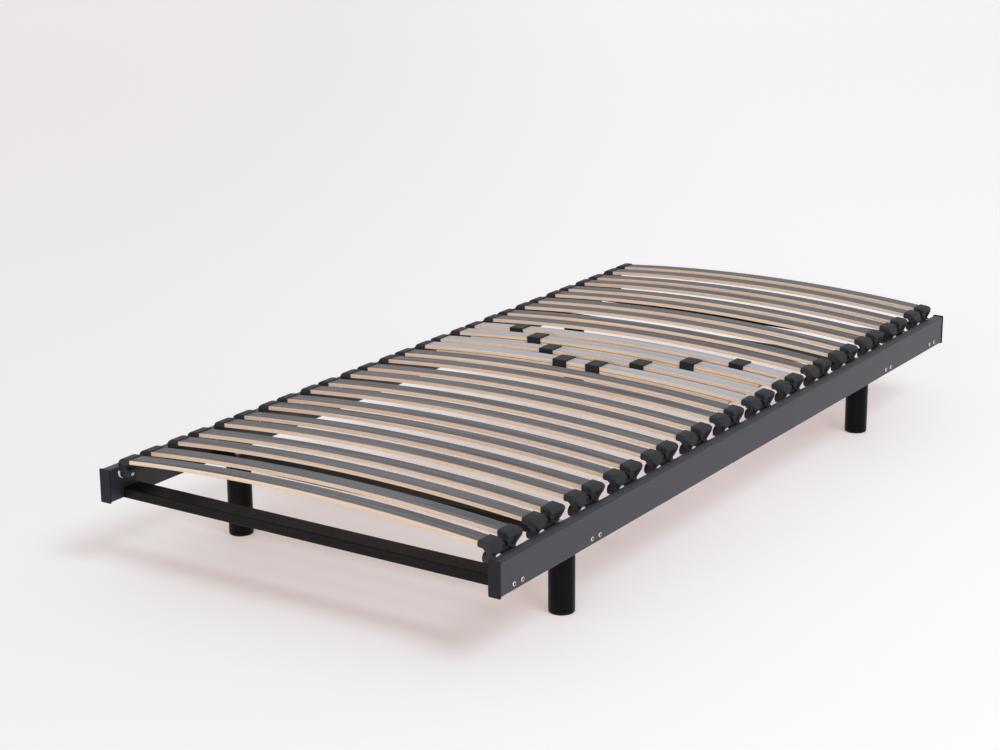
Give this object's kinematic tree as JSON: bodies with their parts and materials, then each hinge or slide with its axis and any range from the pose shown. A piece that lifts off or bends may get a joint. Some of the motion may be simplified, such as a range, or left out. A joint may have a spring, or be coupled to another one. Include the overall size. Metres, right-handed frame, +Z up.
{
  "type": "slatted bed base",
  "caption": "Metal bed frame with round legs, tube side rails and bowed wooden slats held in pairs by rubber rockers on pins; firmness sliders at the hips.",
  "frame": {"origin": "on the floor under the middle of the bed base", "axes": "+Z up; +Y along the bed, towards the far end; +X across it, to the right when looking along +Y"},
  "size_m": [0.909, 1.9, 0.2531],
  "materials": {
    "rail_paint": "satin anthracite powder coat",
    "bar_paint": "satin black powder coat",
    "leg_paint": "gloss black powder coat",
    "grey_slat": "grey-blue foil over laminated wood, semi-matt",
    "pale_slat": "pale lavender-grey foil over laminated wood, semi-matt",
    "holder_moulding": "matt charcoal moulding",
    "slider_moulding": "matt black moulding"
  },
  "bodies": {
    "frame": {"side_rail_left": "rail_paint", "side_rail_right": "rail_paint", "cross_bar_1": "bar_paint", "cross_bar_2": "bar_paint", "cross_bar_3": "bar_paint", "cross_bar_4": "bar_paint", "leg_near_left": "leg_paint", "leg_near_right": "leg_paint", "leg_far_left": "leg_paint", "leg_far_right": "leg_paint"},
    "rocker_01": {"holder_left_01": "holder_moulding", "holder_right_01": "holder_moulding", "slat_pair_01": "grey_slat"},
    "rocker_02": {"holder_left_02": "holder_moulding", "holder_right_02": "holder_moulding", "slat_pair_02": "grey_slat"},
    "rocker_03": {"holder_left_03": "holder_moulding", "holder_right_03": "holder_moulding", "slat_pair_03": "grey_slat"},
    "rocker_04": {"holder_left_04": "holder_moulding", "holder_right_04": "holder_moulding", "slat_pair_04": "grey_slat"},
    "rocker_05": {"holder_left_05": "holder_moulding", "holder_right_05": "holder_moulding", "slat_pair_05": "grey_slat"},
    "rocker_06": {"holder_left_06": "holder_moulding", "holder_right_06": "holder_moulding", "slat_pair_06": "grey_slat"},
    "rocker_07": {"holder_left_07": "holder_moulding", "holder_right_07": "holder_moulding", "slat_pair_07": "grey_slat"},
    "rocker_08": {"holder_left_08": "holder_moulding", "holder_right_08": "holder_moulding", "slat_pair_08": "pale_slat"},
    "slider_08_front_left": {"slider_08_front_left": "slider_moulding"},
    "slider_08_front_right": {"slider_08_front_right": "slider_moulding"},
    "slider_08_rear_left": {"slider_08_rear_left": "slider_moulding"},
    "slider_08_rear_right": {"slider_08_rear_right": "slider_moulding"},
    "rocker_09": {"holder_left_09": "holder_moulding", "holder_right_09": "holder_moulding", "slat_pair_09": "pale_slat"},
    "slider_09_front_left": {"slider_09_front_left": "slider_moulding"},
    "slider_09_front_right": {"slider_09_front_right": "slider_moulding"},
    "slider_09_rear_left": {"slider_09_rear_left": "slider_moulding"},
    "slider_09_rear_right": {"slider_09_rear_right": "slider_moulding"},
    "rocker_10": {"holder_left_10": "holder_moulding", "holder_right_10": "holder_moulding", "slat_pair_10": "grey_slat"},
    "rocker_11": {"holder_left_11": "holder_moulding", "holder_right_11": "holder_moulding", "slat_pair_11": "grey_slat"},
    "rocker_12": {"holder_left_12": "holder_moulding", "holder_right_12": "holder_moulding", "slat_pair_12": "grey_slat"},
    "rocker_13": {"holder_left_13": "holder_moulding", "holder_right_13": "holder_moulding", "slat_pair_13": "grey_slat"},
    "rocker_14": {"holder_left_14": "holder_moulding", "holder_right_14": "holder_moulding", "slat_pair_14": "grey_slat"}
  },
  "joints": [
    {"name": "rocker_01_pin", "type": "hinge", "parent": "frame", "child": "rocker_01", "pos_m": [0, -0.9157, 0.2008], "axis": [1, 0, 0], "range_deg": [0, 12]},
    {"name": "rocker_02_pin", "type": "hinge", "parent": "frame", "child": "rocker_02", "pos_m": [0, -0.7789, 0.2008], "axis": [1, 0, 0], "range_deg": [0, 12]},
    {"name": "rocker_03_pin", "type": "hinge", "parent": "frame", "child": "rocker_03", "pos_m": [0, -0.6421, 0.2008], "axis": [1, 0, 0], "range_deg": [0, 12]},
    {"name": "rocker_04_pin", "type": "hinge", "parent": "frame", "child": "rocker_04", "pos_m": [0, -0.5053, 0.2008], "axis": [1, 0, 0], "range_deg": [0, 12]},
    {"name": "rocker_05_pin", "type": "hinge", "parent": "frame", "child": "rocker_05", "pos_m": [0, -0.3685, 0.2008], "axis": [1, 0, 0], "range_deg": [0, 12]},
    {"name": "rocker_06_pin", "type": "hinge", "parent": "frame", "child": "rocker_06", "pos_m": [0, -0.2317, 0.2008], "axis": [1, 0, 0], "range_deg": [0, 12]},
    {"name": "rocker_07_pin", "type": "hinge", "parent": "frame", "child": "rocker_07", "pos_m": [0, -0.0949, 0.2008], "axis": [1, 0, 0], "range_deg": [0, 12]},
    {"name": "rocker_08_pin", "type": "hinge", "parent": "frame", "child": "rocker_08", "pos_m": [0, 0.0419, 0.2008], "axis": [1, 0, 0], "range_deg": [0, 12]},
    {"name": "slider_08_front_left_travel", "type": "hinge", "parent": "rocker_08", "child": "slider_08_front_left", "pos_m": [0, 0.0459, -4.15], "axis": [0, 1, 0], "range_deg": [-3.74, 0.21]},
    {"name": "slider_08_front_right_travel", "type": "hinge", "parent": "rocker_08", "child": "slider_08_front_right", "pos_m": [0, 0.0459, -4.15], "axis": [0, 1, 0], "range_deg": [-0.21, 3.74]},
    {"name": "slider_08_rear_left_travel", "type": "hinge", "parent": "rocker_08", "child": "slider_08_rear_left", "pos_m": [0, 0.1067, -4.15], "axis": [0, 1, 0], "range_deg": [-2.79, 1.16]},
    {"name": "slider_08_rear_right_travel", "type": "hinge", "parent": "rocker_08", "child": "slider_08_rear_right", "pos_m": [0, 0.1067, -4.15], "axis": [0, 1, 0], "range_deg": [-1.16, 2.79]},
    {"name": "rocker_09_pin", "type": "hinge", "parent": "frame", "child": "rocker_09", "pos_m": [0, 0.1787, 0.2008], "axis": [1, 0, 0], "range_deg": [0, 12]},
    {"name": "slider_09_front_left_travel", "type": "hinge", "parent": "rocker_09", "child": "slider_09_front_left", "pos_m": [0, 0.1827, -4.15], "axis": [0, 1, 0], "range_deg": [-1.75, 2.2]},
    {"name": "slider_09_front_right_travel", "type": "hinge", "parent": "rocker_09", "child": "slider_09_front_right", "pos_m": [0, 0.1827, -4.15], "axis": [0, 1, 0], "range_deg": [-2.2, 1.75]},
    {"name": "slider_09_rear_left_travel", "type": "hinge", "parent": "rocker_09", "child": "slider_09_rear_left", "pos_m": [0, 0.2435, -4.15], "axis": [0, 1, 0], "range_deg": [-0.63, 3.32]},
    {"name": "slider_09_rear_right_travel", "type": "hinge", "parent": "rocker_09", "child": "slider_09_rear_right", "pos_m": [0, 0.2435, -4.15], "axis": [0, 1, 0], "range_deg": [-3.32, 0.63]},
    {"name": "rocker_10_pin", "type": "hinge", "parent": "frame", "child": "rocker_10", "pos_m": [0, 0.3155, 0.2008], "axis": [1, 0, 0], "range_deg": [0, 12]},
    {"name": "rocker_11_pin", "type": "hinge", "parent": "frame", "child": "rocker_11", "pos_m": [0, 0.4523, 0.2008], "axis": [1, 0, 0], "range_deg": [0, 12]},
    {"name": "rocker_12_pin", "type": "hinge", "parent": "frame", "child": "rocker_12", "pos_m": [0, 0.5891, 0.2008], "axis": [1, 0, 0], "range_deg": [0, 12]},
    {"name": "rocker_13_pin", "type": "hinge", "parent": "frame", "child": "rocker_13", "pos_m": [0, 0.7259, 0.2008], "axis": [1, 0, 0], "range_deg": [0, 12]},
    {"name": "rocker_14_pin", "type": "hinge", "parent": "frame", "child": "rocker_14", "pos_m": [0, 0.8627, 0.2008], "axis": [1, 0, 0], "range_deg": [0, 12]}
  ]
}
